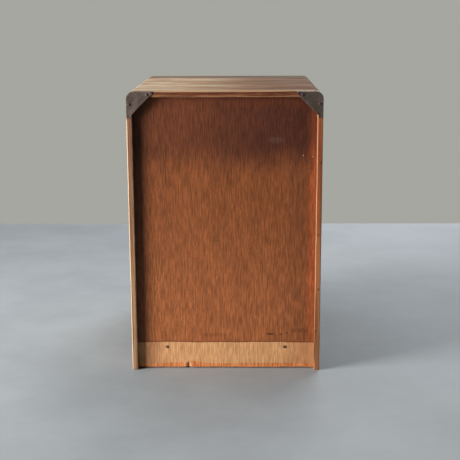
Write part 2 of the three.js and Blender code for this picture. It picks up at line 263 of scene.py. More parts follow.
def grain_group():
    """Wood whose grain runs along the vector's Z: broad figure, streaks of fibre, and short open pores."""
    tree, given, gives = new_group(
        "wood_grain",
        [("Vector", "Vector"), ("Figure Size", "Float", 0.03), ("Figure Bend", "Float", 1.0)],
        [("Figure", "Float"), ("Fibre", "Float"), ("Pores", "Float")],
    )
    vector = given["Vector"]
    bend = noise(tree, stretched(tree, vector, (5, 5, 1.6)), 1.0, 2)
    bend = calc(tree, "MULTIPLY", calc(tree, "SUBTRACT", bend, 0.5), given["Figure Bend"])
    place = put(tree, "ShaderNodeSeparateXYZ", vector)
    across = calc(tree, "DIVIDE", place.outputs["X"], given["Figure Size"])
    deep = calc(tree, "DIVIDE", place.outputs["Y"], given["Figure Size"])
    rings = put(tree, "ShaderNodeCombineXYZ", calc(tree, "ADD", across, calc(tree, "MULTIPLY", bend, 9.0)),
                calc(tree, "ADD", deep, calc(tree, "MULTIPLY", bend, 5.0)), 0.0)
    tree.links.new(noise(tree, rings.outputs[0], 1.0, 4, 0.6), gives["Figure"])
    coarse = noise(tree, stretched(tree, vector, (460, 460, 26)), 1.0, 3, 0.6)
    fine = noise(tree, stretched(tree, vector, (1500, 1500, 70)), 1.0, 2, 0.5)
    tree.links.new(calc(tree, "ADD", calc(tree, "MULTIPLY", coarse, 0.6), calc(tree, "MULTIPLY", fine, 0.4)),
                   gives["Fibre"])
    short = noise(tree, stretched(tree, vector, (2200, 2200, 120)), 1.0, 1, 0.4)
    tree.links.new(ramp(tree, short, 0.58, 0.70), gives["Pores"])
    return tree


def wear_group():
    """Arrises rubbed bare: the mesh's own arris value, broken up by noise, and how much is rubbed."""
    tree, given, gives = new_group(
        "edge_wear",
        [("Vector", "Vector"), ("Amount", "Float", 0.5), ("Patch Size", "Float", 0.03)],
        [("Bare", "Float")],
    )
    arris = put(tree, "ShaderNodeAttribute", settings={"attribute_name": "arris"}).outputs["Fac"]
    scale = calc(tree, "DIVIDE", 1.0, given["Patch Size"])
    patches = noise(tree, given["Vector"], scale, 5, 0.65)
    limit = calc(tree, "SUBTRACT", 1.0, given["Amount"])
    rubbed = calc(tree, "SUBTRACT", calc(tree, "ADD", calc(tree, "MULTIPLY", arris, 0.75), patches), limit)
    tree.links.new(ramp(tree, calc(tree, "MULTIPLY", rubbed, arris), 0.1, 0.45), gives["Bare"])
    return tree


def grime_group():
    """Blotches of grime or bleaching: soft broad patches with finer ones inside them."""
    tree, given, gives = new_group(
        "grime",
        [
            ("Vector", "Vector"),
            ("Patch Size", "Float", 0.08),
            ("Start", "Float", 0.45),
            ("End", "Float", 0.7),
        ],
        [("Mask", "Float")],
    )
    scale = calc(tree, "DIVIDE", 1.0, given["Patch Size"])
    patches = noise(tree, given["Vector"], scale, 6, 0.62, 0.4)
    mask = put(tree, "ShaderNodeMapRange", patches, given["Start"], given["End"], 0.0, 1.0)
    tree.links.new(mask.outputs[0], gives["Mask"])
    return tree


GRAIN = grain_group()
WEAR = wear_group()
GRIME = grime_group()


class Finish:
    """A material being wired, with the coordinates and shared effects that it places."""

    def __init__(self, name, **constants):
        self.material = bpy.data.materials.new(name)
        self.material.use_nodes = True
        self.tree = self.material.node_tree
        self.tree.nodes.clear()
        self.shader = put(self.tree, "ShaderNodeBsdfPrincipled", **constants)
        put(self.tree, "ShaderNodeOutputMaterial", self.shader.outputs[0])
        self.place = put(self.tree, "ShaderNodeTexCoord").outputs["Object"]
        xyz = put(self.tree, "ShaderNodeSeparateXYZ", self.place)
        self.x, self.y, self.z = xyz.outputs

    def group(self, group, **values):
        """Places a shared group."""
        made = put(self.tree, "ShaderNodeGroup", settings={"node_tree": group}, **values)
        return made.outputs

    def turned(self, grain, offset=0.0, along=1.0):
        """Coordinates turned so that the grain lies along Z, and squeezed along it."""
        turn = {"X": (0, -math.pi / 2, 0), "Y": (math.pi / 2, 0, 0), "Z": (0, 0, 0)}[grain]
        scale = [along if axis == grain else 1.0 for axis in "XYZ"]
        shift = (offset, offset * 0.7, offset * 0.3)
        return put(self.tree, "ShaderNodeMapping", self.place, shift, turn, scale).outputs[0]

    def finish(self, colour, roughness, height, strength, depth):
        """Wires colour, roughness and relief into the shader."""
        bump = put(self.tree, "ShaderNodeBump", Strength=strength, Distance=depth, Height=height)
        for label, value in (("Base Color", colour), ("Roughness", roughness), ("Normal", bump.outputs[0])):
            self.tree.links.new(value, self.shader.inputs[label])
        return self.material

    def mix(self, share, first, second, kind="MIX"):
        return blended(self.tree, share, first, second, kind)

    def calc(self, operation, *values, clamp=False):
        return calc(self.tree, operation, *values, clamp=clamp)

    def ramp(self, value, start, end, low=0.0, high=1.0):
        return ramp(self.tree, value, start, end, low, high)

    def noise(self, vector, scale, detail=3.0, roughness=0.55, distortion=0.0):
        return noise(self.tree, vector, scale, detail, roughness, distortion)

    def spot(self, x, z, radius_x, radius_z, edge=0.35):
        """A soft oval spot on the back, 1 in its middle."""
        dx = self.calc("DIVIDE", self.calc("SUBTRACT", self.x, x), radius_x)
        dz = self.calc("DIVIDE", self.calc("SUBTRACT", self.z, z), radius_z)
        far = self.calc("ADD", self.calc("MULTIPLY", dx, dx), self.calc("MULTIPLY", dz, dz))
        return self.ramp(far, 1.0, edge, 0.0, 1.0)

    def spotted(self, colour, shade, share, *spot):
        """A colour with a soft oval spot of another shade on it."""
        return self.mix(self.calc("MULTIPLY", self.spot(*spot), share), colour, shade)

    def toned(self, share, colour, tint):
        """A colour taken some of the way to its product with a tint."""
        return self.mix(share, colour, self.mix(1.0, colour, tint, "MULTIPLY"))


def wood(name, grain, dark, light, bare, wear=0.35, offset=0.0, grime=0.35, grime_colour=paint(52, 36, 26),
         roughness=0.5, figure_size=0.02, pores=0.35, grained=0.5, along=0.55, sheen=1.4, local=None):
    """A board's finish: figure between two colours, fibre and pores, grime in patches, rubbed arrises.
    local(finish, colour) may add what only this board has."""
    f = Finish(name, IOR=sheen)
    vector = f.turned(grain, offset, along)
    figure, fibre, open_pores = f.group(GRAIN, Vector=vector, Figure_Size=figure_size)
    tone = f.calc("ADD", f.calc("MULTIPLY", figure, 1 - grained), f.calc("MULTIPLY", fibre, grained))
    colour = f.mix(f.ramp(tone, 0.32, 0.68), dark, light)
    colour = f.mix(f.calc("MULTIPLY", open_pores, pores), colour, dark, "MULTIPLY")
    patches = f.group(GRIME, Vector=f.place, Patch_Size=0.11, Start=0.42, End=0.72)[0]
    colour = f.mix(f.calc("MULTIPLY", patches, grime), colour, grime_colour)
    if local:
        colour = local(f, colour)
    rubbed = f.group(WEAR, Vector=f.place, Amount=wear, Patch_Size=0.035)[0]
    colour = f.mix(rubbed, colour, bare)
    rough = f.calc("ADD", f.calc("MULTIPLY", fibre, 0.25), roughness - 0.1)
    rough = f.calc("ADD", rough, f.calc("MULTIPLY", rubbed, 0.15))
    height = f.calc("SUBTRACT", fibre, f.calc("MULTIPLY", open_pores, 0.4))
    return f.finish(colour, rough, height, 0.5, 0.2 * MM)


def weathered_case(name, grain, edge_colours, bare, rim, edge_wear=0.42, knots=()):
    """The case's boards: bleached grey-brown faces, and rear edges that still hold their own colour. rim is
    painted light on the rear edge's outer arris: a highlight on a board that faces the light, shade on one
    that does not.
    """

    def rear_edge(f, colour):
        streak = f.noise(stretched(f.tree, f.turned(grain), (260, 260, 9)), 1.0, 4, 0.6)
        low, high = edge_colours
        edge = f.mix(f.ramp(f.z, 0.05, 0.45), low, high)
        edge = f.toned(f.ramp(streak, 0.66, 0.34), edge, paint(206, 186, 166))
        outside = f.calc("ABSOLUTE", f.x)
        # Painted light: the outer arris of the rear edge is taken towards rim, a painted highlight on the lit
        # side and painted shade on the other.
        edge = f.mix(f.ramp(outside, HALF_WIDTH - 1.6 * MM, HALF_WIDTH - 0.6 * MM, 0.0, 0.45), edge, rim)
        for x, z, size in knots:
            edge = f.spotted(edge, paint(58, 30, 18), 0.75, x, z, size, size * 2)
        return f.mix(f.ramp(f.y, CASE_REAR - 1.3 * MM, CASE_REAR - 0.5 * MM), colour, edge)

    return wood(name, grain, paint(92, 64, 44), paint(136, 100, 72), bare, wear=edge_wear, grime=0.4,
                grime_colour=paint(88, 70, 56), roughness=0.6, local=rear_edge)


def top_wood():
    """The top: dry and pale, greyer towards +X and browner towards -X, dark along the front."""

    # The top face's colours, paler towards +X and browner towards -X, and the colours of its rear edge.
    def top_face_and_edge(f, colour):
        streak = f.noise(stretched(f.tree, f.place, (2.2, 20, 20)), 1.0, 5, 0.58)
        fine = f.noise(stretched(f.tree, f.place, (7, 300, 300)), 1.0, 4, 0.6)
        pale = f.mix(f.ramp(f.x, -0.06, 0.08), paint(146, 114, 88), paint(206, 190, 168))
        dull = f.mix(f.ramp(f.x, -0.1, 0.1), paint(114, 88, 66), paint(168, 142, 112))
        face = f.mix(f.ramp(streak, 0.4, 0.6), dull, pale)
        face = f.toned(f.ramp(fine, 0.62, 0.36, 0.0, 0.5), face, paint(206, 188, 170))
        wavering = f.calc("ADD", f.y, f.calc("MULTIPLY", f.calc("SUBTRACT", streak, 0.5), 36 * MM))
        patchy = f.noise(stretched(f.tree, f.place, (11, 17, 17)), 1.0, 4, 0.6)
        face = f.toned(f.ramp(patchy, 0.44, 0.62, 0.0, 0.75), face, paint(222, 188, 156))
        front_strip = f.ramp(wavering, TOP_LOW[1] + 82 * MM, TOP_LOW[1] + 62 * MM)
        face = f.mix(f.calc("MULTIPLY", front_strip, 0.8), face, paint(104, 88, 72))
        rear_strip = f.ramp(wavering, CASE_REAR - 38 * MM, CASE_REAR - 24 * MM)
        face = f.mix(f.calc("MULTIPLY", rear_strip, 0.7), face, paint(178, 142, 106))
        colour = f.mix(f.ramp(f.z, CASE_TOP - 5 * MM, CASE_TOP - 1.2 * MM), colour, face)
        end = f.noise(stretched(f.tree, f.place, (60, 400, 400)), 1.0, 4, 0.6)
        edge = f.mix(f.ramp(end, 0.34, 0.66), paint(84, 46, 32), paint(112, 66, 46))
        flake = f.noise(stretched(f.tree, f.place, (22, 90, 160)), 1.0, 5, 0.65)
        low_half = f.ramp(f.z, CASE_TOP - 4 * MM, CASE_TOP - 7 * MM, 0.05, 0.75)
        edge = f.mix(f.calc("MULTIPLY", low_half, f.ramp(flake, 0.4, 0.6)), edge, paint(154, 104, 72))
        return f.mix(f.ramp(f.y, CASE_REAR - 1.3 * MM, CASE_REAR - 0.6 * MM), colour, edge)

    return wood("top_wood", "X", paint(96, 70, 50), paint(140, 110, 84), paint(180, 136, 100), wear=0.38,
                grime=0.25, grime_colour=paint(110, 96, 84), roughness=0.8, sheen=1.15, local=top_face_and_edge)


def panel_plywood():
    """The plywood back: red-brown stain, darker towards the top, a bare band along the foot where
    a rail once covered it, and a strip of torn veneer under that. Painted shadow darkens it along the +X
    side, and painted bounce light warms the stain along the -X side."""
    f = Finish("panel_plywood", IOR=1.33)
    vector = f.turned("Z", 0, 2.6)
    figure, fibre, open_pores = f.group(GRAIN, Vector=vector, Figure_Size=0.035, Figure_Bend=0.6)
    streaks = f.noise(stretched(f.tree, f.place, (430, 430, 40)), 1.0, 3, 0.6)
    broad = f.noise(stretched(f.tree, f.place, (16, 16, 5)), 1.0, 4, 0.6)
    stain = f.mix(f.ramp(f.z, 0.07, 0.34), paint(160, 94, 54), paint(134, 75, 39))
    stain = f.mix(f.ramp(f.x, -0.06, -0.13, 0.0, 0.35), stain, paint(112, 62, 38))
    drift = f.calc("ADD", f.z, f.calc("MULTIPLY", f.calc("SUBTRACT", broad, 0.5), 0.06))
    darkened = f.ramp(drift, 0.335, 0.405)
    upper = f.mix(f.ramp(f.x, 0.12, -0.1), paint(106, 56, 30), paint(80, 39, 24))
    upper = f.mix(f.ramp(f.z, 0.455, 0.478, 0.0, 0.5), upper, paint(104, 50, 26))
    stain = f.mix(darkened, stain, upper)
    # Painted light: a warm orange brightening of the stain along the -X edge, for light bounced off the -X
    # side board.
    painted_bounce_light = f.calc("MULTIPLY", f.ramp(f.x, -0.136, -0.152), f.ramp(f.z, 0.43, 0.33, 0.25, 0.6))
    stain = f.mix(painted_bounce_light, stain, paint(178, 88, 44))
    # Painted shadow: the stain is darkened along the +X edge, inside the recess, where the side board's
    # shadow falls.
    stain = f.mix(f.ramp(f.x, 0.118, 0.146, 0.0, 0.5), stain, paint(44, 20, 8))
    tide_line = f.calc("ADD", 48 * MM, f.calc("MULTIPLY", f.calc("SUBTRACT", broad, 0.5), 5 * MM))
    above = f.calc("SUBTRACT", f.z, tide_line)
    line = f.calc("MULTIPLY", f.ramp(above, -0.3 * MM, 0.6 * MM), f.ramp(above, 3.2 * MM, 1.0 * MM))
    stain = f.mix(f.calc("MULTIPLY", line, 0.55), stain, paint(92, 50, 28))
    for x, z, wide, high, share in DARK_SMUDGES:
        mark = f.calc("MULTIPLY", f.spot(x, z, wide, high, 0.1), f.ramp(fibre, 0.4, 0.55, 0.5, 1.0))
        stain = f.mix(f.calc("MULTIPLY", mark, share), stain, paint(70, 36, 20))
    for x, z, wide, high, share in PALE_SPECKS:
        pale = f.calc("MULTIPLY", f.spot(x, z, wide, high, 0.0), f.ramp(broad, 0.3, 0.6, 0.4, 1.0))
        stain = f.mix(f.calc("MULTIPLY", pale, share), stain, paint(206, 186, 172))
    for x, z, wide, high, share in SCRATCHES:
        stain = f.spotted(stain, paint(66, 34, 22), share, x, z, wide, high)
    bare = f.mix(f.ramp(streaks, 0.3, 0.66), paint(202, 146, 98), paint(216, 163, 114))
    bare = f.mix(f.ramp(f.x, -0.085, -0.14, 0.0, 0.45), bare, paint(176, 104, 64))
    # Painted shade: the bare band is darkened towards the +X edge, where the side board's shadow falls.
    bare = f.mix(f.ramp(f.x, 0.105, 0.13, 0.0, 0.5), bare, paint(150, 92, 56))
    wave = f.calc("SUBTRACT", f.noise(f.place, 17, 5), 0.5)
    flap_end = f.ramp(f.x, CHIP_X - 4 * MM, CHIP_X - 5 * MM)
    flap_rise = f.ramp(f.x, CHIP_X - 50 * MM, CHIP_X - 12 * MM)
    flap = f.calc("MULTIPLY", flap_end, flap_rise)
    torn_line = f.calc("ADD", TORN_HEIGHT, f.calc("MULTIPLY", wave, 14 * MM))
    torn_line = f.calc("ADD", torn_line, f.calc("MULTIPLY", flap, FLAP_HEIGHT))
    torn = f.ramp(f.calc("SUBTRACT", f.z, torn_line), 0.6 * MM, -0.4 * MM)
    for node in ("panel_nail_left", "panel_nail_right"):
        x, _, z = sum(corners(node)) / 2
        bare = f.spotted(bare, paint(128, 78, 48), 0.5, x, z, 5 * MM, 4 * MM, 0.1)
    bare = f.mix(torn, bare, f.mix(f.ramp(streaks, 0.35, 0.6), paint(196, 108, 56), paint(220, 142, 88)))
    bare = f.spotted(bare, paint(70, 38, 22), 0.85, CHIP_X, 0.007, 0.0022, 0.0065, 0.3)
    bare = f.spotted(bare, paint(236, 196, 156), 0.7, CHIP_X - 4.5 * MM, 0.006, 0.0013, 0.0055, 0.3)
    stained = f.ramp(above, -0.4 * MM, 0.5 * MM)
    colour = f.mix(stained, bare, stain)
    tone = f.ramp(streaks, 0.3, 0.7, 0.67, 1.3)
    tone = f.calc("MULTIPLY", tone, f.ramp(fibre, 0.34, 0.66, 0.82, 1.16))
    tone = f.calc("MULTIPLY", tone, f.ramp(figure, 0.35, 0.65, 0.92, 1.07))
    grey = put(f.tree, "ShaderNodeCombineXYZ", tone, tone, tone).outputs[0]
    colour = f.toned(f.calc("ADD", f.calc("MULTIPLY", stained, 0.55), 0.45), colour, grey)
    filled = f.calc("ADD", f.calc("MULTIPLY", stained, 0.25), 0.15)
    colour = f.mix(f.calc("MULTIPLY", open_pores, filled), colour, paint(70, 34, 20))
    rough = f.calc("ADD", f.calc("MULTIPLY", fibre, 0.2), f.ramp(stained, 0, 1, 0.58, 0.46))
    height = f.calc("SUBTRACT", fibre, f.calc("MULTIPLY", open_pores, 0.4))
    return f.finish(colour, rough, height, 0.5, 0.2 * MM)


def old_steel(name, dark, light, metal=0.6, rust=0.35, rough=0.5, wear=0.35, dirt=()):
    """Sheet steel gone brown: dull, speckled, with rust in patches and bright rubbed edges."""
    f = Finish(name, IOR=1.6)
    cloud = f.noise(f.place, 55, 6, 0.65, 0.6)
    speck = f.noise(f.place, 900, 3, 0.6)
    patches = f.group(GRIME, Vector=f.place, Patch_Size=0.018, Start=0.46, End=0.66)[0]
    colour = f.mix(f.ramp(cloud, 0.35, 0.65), dark, light)
    colour = f.mix(f.calc("MULTIPLY", patches, rust), colour, paint(92, 58, 40))
    colour = f.mix(f.ramp(speck, 0.56, 0.7, 0.0, 0.6), colour, paint(46, 34, 28))
    for x, z, size in dirt:
        colour = f.spotted(colour, paint(40, 26, 20), 0.75, x, z, size, size * 0.8, 0.0)
    rubbed = f.group(WEAR, Vector=f.place, Amount=wear, Patch_Size=0.012)[0]
    colour = f.mix(rubbed, colour, paint(132, 118, 104))
    shine = f.calc("SUBTRACT", metal, f.calc("MULTIPLY", patches, rust), clamp=True)
    f.tree.links.new(shine, f.shader.inputs["Metallic"])
    roughness = f.calc("ADD", f.calc("MULTIPLY", cloud, 0.25), rough - 0.1)
    height = f.calc("ADD", f.calc("MULTIPLY", cloud, 0.6), f.calc("MULTIPLY", speck, 0.4))
    return f.finish(colour, roughness, height, 0.5, 0.2 * MM)


def label_card():
    """Blank old card: yellowed, browner towards its edges and foxed here and there."""
    f = Finish("label_card", IOR=1.45)
    fibres = f.noise(f.place, 700, 4, 0.6)
    foxing = f.group(GRIME, Vector=f.place, Patch_Size=0.006, Start=0.6, End=0.74)[0]
    colour = f.mix(f.ramp(fibres, 0.3, 0.7), paint(206, 188, 148), paint(224, 208, 170))
    colour = f.mix(f.calc("MULTIPLY", foxing, 0.5), colour, paint(160, 120, 76))
    rough = f.calc("ADD", f.calc("MULTIPLY", fibres, 0.2), 0.75)
    return f.finish(colour, rough, fibres, 0.4, 0.05 * MM)


def pale_floor():
    """A plain pale grey floor with a faint cloudiness."""
    f = Finish("pale_floor", IOR=1.4)
    cloud = f.noise(f.place, 5, 5, 0.6)
    colour = f.mix(f.ramp(cloud, 0.3, 0.7), paint(144, 151, 156), paint(154, 161, 166))
    rough = f.calc("ADD", f.calc("MULTIPLY", cloud, 0.1), 0.65)
    return f.finish(colour, rough, cloud, 0.1, 0.2 * MM)


# ---------------------------------------------------------------------------------------------
# Shapes
# ---------------------------------------------------------------------------------------------


def eased(t):
    """3t^2 - 2t^3: from 0 to 1 with level ends, t held between 0 and 1."""
    t = np.clip(t, 0, 1)
    return t * t * (3 - 2 * t)


def ripple(points, length, seed, waves=9):
    """An uneven height from about -1 to 1 at each point: the mean of sine waves in random directions,
    with wavelengths around the given length."""
    rng = np.random.default_rng(seed)
    directions = rng.normal(size=(waves, points.shape[-1]))
    directions /= np.linalg.norm(directions, axis=1, keepdims=True)
    rates = TAU / (length * rng.uniform(0.5, 1.8, waves))
    phases = rng.uniform(0, TAU, waves)
    return np.sin(points @ (directions * rates[:, None]).T + phases).mean(-1) * 2


def quads(rows, columns, closed=False):
    """The four-sided faces between neighbours of a grid, point numbers running row by row. A closed grid
    joins its last column to its first."""
    r, c = np.meshgrid(np.arange(rows - 1), np.arange(columns if closed else columns - 1), indexing="ij")
    r, c = r.ravel(), c.ravel()
    across = (c + 1) % columns
    row, next_row = r * columns, (r + 1) * columns
    return np.stack([row + c, next_row + c, next_row + across, row + across], 1)


def mark_arrises(mesh, values):
    """Stores for each point how far it lies on an arris, which the finishes read."""
    stored = mesh.attributes.new("arris", "FLOAT", "POINT").data
    stored.foreach_set("value", np.ravel(values).astype(np.float32))


def mesh_of(name, parts, arris=None):
    """One mesh from (points, faces) parts, with doubles merged and faces turned outwards. arris is a value
    for each point that the finishes read."""
    points, faces, start = [], [], 0
    for part_points, part_faces in parts:
        flat = np.asarray(part_points, float).reshape(-1, 3)
        points.append(flat)
        faces += [[start + int(i) for i in face] for face in part_faces]
        start += len(flat)
    mesh = bpy.data.meshes.new(name)
    mesh.from_pydata(np.concatenate(points).tolist(), [], faces)
    if arris is not None:
        mark_arrises(mesh, arris)
    work = bmesh.new()
    work.from_mesh(mesh)
    bmesh.ops.remove_doubles(work, verts=work.verts, dist=0.01 * MM)
    bmesh.ops.recalc_face_normals(work, faces=work.faces)
    work.to_mesh(mesh)
    work.free()
    mesh.shade_smooth()
    return mesh


def add_piece(mesh, body, material, replaced=(), angle=35):
    """Puts a mesh in the scene, riding on its body, with its finish and the nodes that it stands for."""
    piece = bpy.data.objects.new(mesh.name, mesh)
    bpy.context.scene.collection.objects.link(piece)
    mesh.materials.clear()
    mesh.materials.append(material)
    if angle:
        mesh.set_sharp_from_angle(angle=math.radians(angle))
    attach(piece, body)
    if replaced:
        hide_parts(*replaced)
    return piece


def outer_arrises(work):
    """The edges where two outer faces of a board meet. A face is an outer one if no vertex lies beyond its
    plane."""
    places = np.array([vertex.co for vertex in work.verts])
    outer = set()
    for face in work.faces:
        normal = np.array(face.normal)
        if (places @ normal).max() < normal @ np.array(face.verts[0].co) + 0.01 * MM:
            outer.add(face)
    turned = math.radians(30)
    return [e for e in work.edges if outer.issuperset(e.link_faces) and e.calc_face_angle(0) > turned]


def cut_at_joints(work):
    """Cuts a board right through at each level where a joint starts or ends, so that its faces are
    rectangles."""
    squared = [v for v in work.verts if all(max(map(abs, f.normal)) > 0.9999 for f in v.link_faces)]
    places = np.array([vertex.co for vertex in squared])
    reach = np.array([vertex.co for vertex in work.verts])
    for axis in range(3):
        levels = np.unique(np.round(places[:, axis], 5))
        inside = (levels > reach[:, axis].min() + 0.02 * MM) & (levels < reach[:, axis].max() - 0.02 * MM)
        normal = [float(i == axis) for i in range(3)]
        for level in levels[inside]:
            point = [level * n for n in normal]
            everything = work.verts[:] + work.edges[:] + work.faces[:]
            bmesh.ops.bisect_plane(work, geom=everything, dist=0.005 * MM, plane_co=point, plane_no=normal)


def worn_copy(node, arris, dent, seed, step, segments):
    """A copy of a frame board with its outer arrises rounded and knocked about. Long ones are cut every step
    first, so that the inner rows of the rounding can be pushed in: depth = dent x (0.35 + a broad ripple +
    half a fine one), held between 0 and 1.2 x dent."""
    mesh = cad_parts[node].data.copy()
    mesh.name = node + "_worn"
    mesh.attributes.remove(mesh.attributes["custom_normal"])
    work = bmesh.new()
    work.from_mesh(mesh)
    bmesh.ops.remove_doubles(work, verts=work.verts, dist=0.002 * MM)
    bmesh.ops.dissolve_limit(work, angle_limit=math.radians(1), verts=work.verts, edges=work.edges)
    cut_at_joints(work)
    cuts = {}
    for edge in outer_arrises(work):
        cuts.setdefault(round(edge.calc_length() / step) - 1, []).append(edge)
    for count, edges in cuts.items():
        if count > 0:
            bmesh.ops.subdivide_edges(work, edges=edges, cuts=count)
    rounded = bmesh.ops.bevel(work, geom=outer_arrises(work), offset=arris, segments=segments, profile=0.5,
                              affect="EDGES", clamp_overlap=False)
    on_arris = set(rounded["faces"])
    for edge in work.edges:
        edge.smooth = on_arris.issuperset(edge.link_faces)
    work.verts.index_update()
    inner = np.array([on_arris.issuperset(vertex.link_faces) for vertex in work.verts])
    work.to_mesh(mesh)
    work.free()
    count = len(mesh.vertices)
    places, normals = np.empty(count * 3), np.empty(count * 3)
    mesh.vertices.foreach_get("co", places)
    mesh.vertex_normals.foreach_get("vector", normals)
    places, normals = places.reshape(-1, 3), normals.reshape(-1, 3)
    uneven = 0.35 + ripple(places, 30 * MM, seed) + 0.5 * ripple(places, 9 * MM, seed + 1)
    depth = dent * np.clip(uneven, 0, 1.2) * inner
    mesh.vertices.foreach_set("co", (places - normals * depth[:, None]).ravel())
    mark_arrises(mesh, inner)
    mesh.polygons.foreach_set("use_smooth", np.ones(len(mesh.polygons), bool))
    mesh.update()
    return mesh


def panel_sheet():
    """The plywood back as a sheet: its rear face is a grid over X and Z whose depth is a gentle ripple, with
    a step where the outer veneer is torn off along the foot, and a chip there. Its front is flat. The foot is
    lifted most at the chip, and less and less up to 8 mm above it."""
    x = np.linspace(PANEL_LOW[0], PANEL_HIGH[0], 181)
    foot = np.arange(PANEL_LOW[2], 56 * MM, 1.4 * MM)
    z = np.concatenate([foot, np.linspace(foot[-1] + 3 * MM, PANEL_HIGH[2], 120)])
    x, z = np.meshgrid(x, z)
    place = np.stack([x, z], -1)
    flap = eased((CHIP_X - 4 * MM - x) / MM) * eased((x - CHIP_X + 50 * MM) / (38 * MM))
    edge = TORN_HEIGHT + FLAP_HEIGHT * flap + 1.5 * MM * ripple(place * (1, 0), 60 * MM, 21)
    torn = 1 - eased((z - edge) / (1.2 * MM) + 0.5)
    chip = np.exp(-(((x - CHIP_X) / (2.4 * MM)) ** 2) - ((z - 4 * MM) / (4 * MM)) ** 2)
    free = eased((HALF_WIDTH - 9 * MM - abs(x)) / (12 * MM)) * eased((TOP_LOW[2] - z) / (12 * MM))
    broad = 0.25 * MM * (1 + ripple(place, 150 * MM, 23))
    fine = 0.04 * MM * (1 + ripple(place * (1, 0.12), 7 * MM, 24))
    depth = free * (broad + fine) + 0.35 * MM * torn + 0.9 * MM * chip
    nick = 2.2 * MM * np.exp(-(((x - CHIP_X) / (2.5 * MM)) ** 2))
    nick = nick + 0.5 * MM * (1 + ripple(place * (1, 0), 25 * MM, 25))
    lift = nick * np.clip(1 - (z - PANEL_LOW[2]) / (8 * MM), 0, 1)
    rear = np.stack([x, PANEL_REAR - depth, z + lift], -1)
    front = np.stack([x, 0 * x + PANEL_LOW[1], z + lift], -1)
    rows, columns = x.shape
    sheet = quads(rows, columns)
    index = np.arange(rows * columns).reshape(rows, columns)
    rim = np.concatenate([index[0], index[1:, -1], index[-1, -2::-1], index[-2:0:-1, 0]])
    rim_points = np.stack([rear.reshape(-1, 3)[rim], front.reshape(-1, 3)[rim]])
    flat = rim_points[1]
    parts = [(rear, sheet), (rim_points, quads(2, len(rim), closed=True)), (flat, [range(len(rim))])]
    return mesh_of("plywood_back", parts)


def corner_run(t, depth=0.0):
    """The case's rounded corner seen from behind: up the side, round and along the top, t from 0 to 1 by
    length. Gives its points, as x and z. Round the corner they lie at a depth inside it."""
    straight = PLATE_LEG - CORNER_RADIUS
    turn = CORNER_RADIUS * math.pi / 2
    s = np.asarray(t) * (2 * straight + turn)
    angle = np.clip((s - straight) / turn, 0, 1) * math.pi / 2
    out = np.stack([np.cos(angle), np.sin(angle)], -1)
    middle = np.array([HALF_WIDTH - CORNER_RADIUS, CASE_TOP - CORNER_RADIUS])
    below = np.clip(straight - s, 0, None)
    beyond = np.clip(s - straight - turn, 0, None)
    return middle + out * (CORNER_RADIUS - depth) + np.stack([-beyond, -below], -1)


def corner_plate(name, side, seed):
    """A folded plate. One parameter runs along the corner's outside, the other from the flange's front edge
    back, round a small bend and in to the diagonal edge. The flat is dished a little, and its diagonal edge
    wanders."""
    t = np.linspace(0, 1, 65)
    back = PLATE_HIGH[1]
    bend = 1.0 * MM
    flange = np.linspace(PLATE_LOW[1], back - bend, 7)
    curve = np.linspace(0, math.pi / 2, 6)[1:]
    inwards = np.linspace(0, 1, 22)[1:]
    rows = []
    for y in flange:
        point = corner_run(t)
        rows.append(np.stack([point[:, 0], 0 * t + y, point[:, 1]], -1))
    for a in curve:
        point = corner_run(t, bend * (1 - math.cos(a)))
        rows.append(np.stack([point[:, 0], 0 * t + back - bend + bend * math.sin(a), point[:, 1]], -1))
    start = rows[-1]
    foot = np.array([HALF_WIDTH - PLATE_HEEL, CASE_TOP - PLATE_LEG])
    knee = np.array([HALF_WIDTH - PLATE_HEEL, CASE_TOP - PLATE_LEG - PLATE_TIP + PLATE_HEEL])
    head = np.array([HALF_WIDTH - PLATE_LEG, CASE_TOP - PLATE_TIP])
    share = np.clip((t - 0.05) / 0.95, 0, 1)[:, None]
    early = np.clip(t / 0.05, 0, 1)[:, None]
    inner = foot + (knee - foot) * early + (head - knee) * share
    wander = 0.35 * MM * ripple(inner, 12 * MM, seed)[:, None] / math.sqrt(2)
    inner = inner + np.abs(wander)
    for v in inwards:
        flat = start[:, [0, 2]] * (1 - v) + inner * v
        dish = 0.12 * MM * (1 + ripple(flat, 16 * MM, seed + 1)) * math.sin(math.pi * min(v, 0.999))
        rows.append(np.stack([flat[:, 0], back - dish, flat[:, 1]], -1))
    grid = np.stack(rows)
    grid[..., 0] *= side
    worn = np.zeros(grid.shape[:2])
    worn[len(flange) : len(flange) + len(curve)] = 0.8
    worn[:2] = 0.6
    worn[-1] = 0.9
    worn[:, [0, -1]] = 0.9
    mesh = mesh_of(name, [(grid, quads(*grid.shape[:2]))], worn)
    face_out(mesh, np.array([side * HALF_WIDTH * 0.8, CASE_REAR - 30 * MM, CASE_TOP - 60 * MM]))
    return mesh


def face_out(mesh, inside):
    """Turns an open sheet so that its faces look away from a point inside."""
    count = len(mesh.polygons)
    middles = np.empty(count * 3)
    normals = np.empty(count * 3)
    mesh.polygons.foreach_get("center", middles)
    mesh.polygons.foreach_get("normal", normals)
    away = (middles.reshape(-1, 3) - inside) * normals.reshape(-1, 3)
    if away.sum() < 0:
        mesh.flip_normals()


def thicken(piece, thickness):
    """Gives a sheet its thickness, inwards from the side that its faces look to."""
    wall = piece.modifiers.new("thickness", "SOLIDIFY")
    wall.thickness = thickness
    wall.offset = -1
    wall.use_even_offset = True


def turned_part(centre, profile, steps, towards):
    """A profile of (radius, height) turned about a line along Y through the centre."""
    radius, height = np.array(profile).T
    angle = np.linspace(0, TAU, steps, endpoint=False)
    ring_x = centre[0] + radius[:, None] * np.cos(angle)
    ring_z = centre[2] + radius[:, None] * np.sin(angle)
    grid = np.stack([ring_x, centre[1] + towards * (height[:, None] + 0 * angle), ring_z], -1)
    return grid, quads(len(radius), steps, closed=True)


